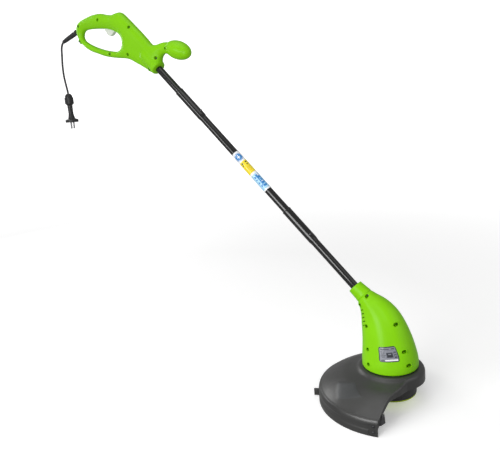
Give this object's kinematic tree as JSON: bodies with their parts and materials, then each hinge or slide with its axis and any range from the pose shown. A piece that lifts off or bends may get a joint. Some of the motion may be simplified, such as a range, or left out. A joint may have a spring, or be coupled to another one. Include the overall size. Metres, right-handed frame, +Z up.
{
  "type": "string trimmer",
  "caption": "Corded electric string trimmer: D-handle with trigger, three-part tube, motor housing, open-front guard and a line head with a bump knob.",
  "frame": {"origin": "middle of the rear D-handle's grip bar, in working posture", "axes": "+X forward, from the grip to the cutting head; +Z up, square to the ground that the head cuts over; +Y to the user's left"},
  "size_m": [1.0942, 0.3257, 0.9641],
  "materials": {
    "lime_plastic": "semi-gloss moulded plastic, lime green",
    "dark_plastic": "matte moulded plastic, dark grey",
    "black_plastic": "matte moulded plastic, black",
    "trigger_plastic": "satin moulded plastic, light grey",
    "cap_plastic": "satin moulded plastic, yellow green",
    "black_tube": "glossy black coating on steel tube",
    "cord_rubber": "satin black cable sheath",
    "screw_steel": "plain steel screws",
    "bright_steel": "bright plated steel",
    "motor_steel": "drawn steel can",
    "line_nylon": "yellow nylon line",
    "shaft_label_film": null,
    "rating_label_film": "silver film with a dark border, no lettering"
  },
  "bodies": {
    "body": {"handle_half_right": "lime_plastic", "handle_half_left": "lime_plastic", "handle_screw_1": "screw_steel", "handle_screw_2": "screw_steel", "handle_screw_3": "screw_steel", "handle_screw_4": "screw_steel", "handle_screw_5": "screw_steel", "handle_screw_6": "screw_steel", "handle_screw_7": "screw_steel", "handle_screw_8": "screw_steel", "handle_screw_9": "screw_steel", "trigger_pin": "bright_steel", "trigger_spring": "bright_steel", "power_switch": "black_plastic", "strain_relief": "cord_rubber", "mains_lead": "cord_rubber", "plug_body": "black_plastic", "plug_blade_1": "bright_steel", "plug_blade_2": "bright_steel", "upper_tube": "black_tube", "middle_tube": "black_tube", "lower_tube": "black_tube", "inner_cable": "cord_rubber", "shaft_label": "shaft_label_film", "motor_housing_right": "lime_plastic", "motor_housing_left": "lime_plastic", "housing_screw_1": "screw_steel", "housing_screw_2": "screw_steel", "housing_screw_3": "screw_steel", "housing_screw_4": "screw_steel", "housing_screw_5": "screw_steel", "housing_screw_6": "screw_steel", "housing_screw_7": "screw_steel", "housing_screw_8": "screw_steel", "rating_label": "rating_label_film", "motor_can": "motor_steel", "motor_bracket": "black_plastic", "guard": "dark_plastic", "guard_screw_1": "screw_steel", "guard_screw_2": "screw_steel", "guard_screw_3": "screw_steel", "line_cutter_blade": "bright_steel", "blade_screw_1": "screw_steel", "blade_screw_2": "screw_steel"},
    "trigger": {"trigger": "trigger_plastic"},
    "button_upper": {"shaft_button_1": "bright_steel", "button_spring_1": "bright_steel"},
    "button_lower": {"shaft_button_2": "bright_steel", "button_spring_2": "bright_steel"},
    "cutting_head": {"motor_shaft": "bright_steel", "cooling_fan": "black_plastic", "spool_housing": "dark_plastic", "spool_cap": "cap_plastic", "line_eyelet": "bright_steel", "cutting_line": "line_nylon", "bump_spring": "bright_steel"},
    "bump_knob": {"bump_knob": "black_plastic"},
    "spool": {"line_spool": "black_plastic", "wound_line": "line_nylon"}
  },
  "joints": [
    {"name": "trigger_pivot", "type": "hinge", "parent": "body", "child": "trigger", "pos_m": [0.072, 0, -0.02], "axis": [0, 1, 0], "range_deg": [0, 6], "stiffness_Nm_per_rad": 0.15, "springref_deg": -20.05},
    {"name": "button_upper_press", "type": "slide", "parent": "body", "child": "button_upper", "axis": [-0.7108, 0, -0.7034], "range_m": [0, 0.0029], "stiffness_N_per_m": 1200, "springref_m": -0.002},
    {"name": "button_lower_press", "type": "slide", "parent": "body", "child": "button_lower", "axis": [-0.5601, 0.6157, -0.5543], "range_m": [0, 0.0029], "stiffness_N_per_m": 1200, "springref_m": -0.002},
    {"name": "head_spin", "type": "hinge", "parent": "body", "child": "cutting_head", "pos_m": [0.82, 0, -0.925], "axis": [0, 0, 1], "continuous": true},
    {"name": "bump_press", "type": "slide", "parent": "cutting_head", "child": "bump_knob", "axis": [0, 0, 1], "range_m": [0, 0.004], "stiffness_N_per_m": 800, "springref_m": -0.004, "deforming": ["bump_spring"]},
    {"name": "spool_feed", "type": "hinge", "parent": "bump_knob", "child": "spool", "pos_m": [0.82, 0, -0.92], "axis": [0, 0, 1], "continuous": true}
  ]
}
